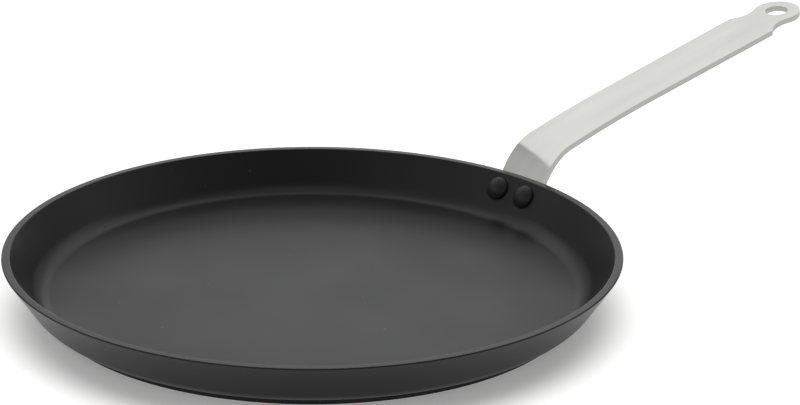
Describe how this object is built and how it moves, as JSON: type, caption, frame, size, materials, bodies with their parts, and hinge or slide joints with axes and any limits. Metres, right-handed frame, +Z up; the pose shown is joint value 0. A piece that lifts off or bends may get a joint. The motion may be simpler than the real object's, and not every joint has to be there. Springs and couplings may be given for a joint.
{
  "type": "crepe pan",
  "caption": "Shallow round crepe pan with a flared wall and flat rim, and a riveted bent strip handle that ends in an eye with a hanging hole.",
  "frame": {"origin": "centre of the base plate's underside, on the surface that the pan stands on", "axes": "+Z up, +X along the handle towards its tip, +Y to the left of the handle seen from the pan"},
  "size_m": [0.5185, 0.3, 0.0741],
  "materials": {
    "coated_aluminium": "dark satin non-stick coat",
    "plate_aluminium": "dark coat on the side, bare turned underside",
    "strip_steel": "fine satin",
    "coated_rivet": "dark satin non-stick coat on the inner head"
  },
  "bodies": {
    "root": {"pan_body": "coated_aluminium", "base_plate": "plate_aluminium", "handle": "strip_steel", "rivet_left": "coated_rivet", "rivet_right": "coated_rivet"}
  },
  "joints": []
}
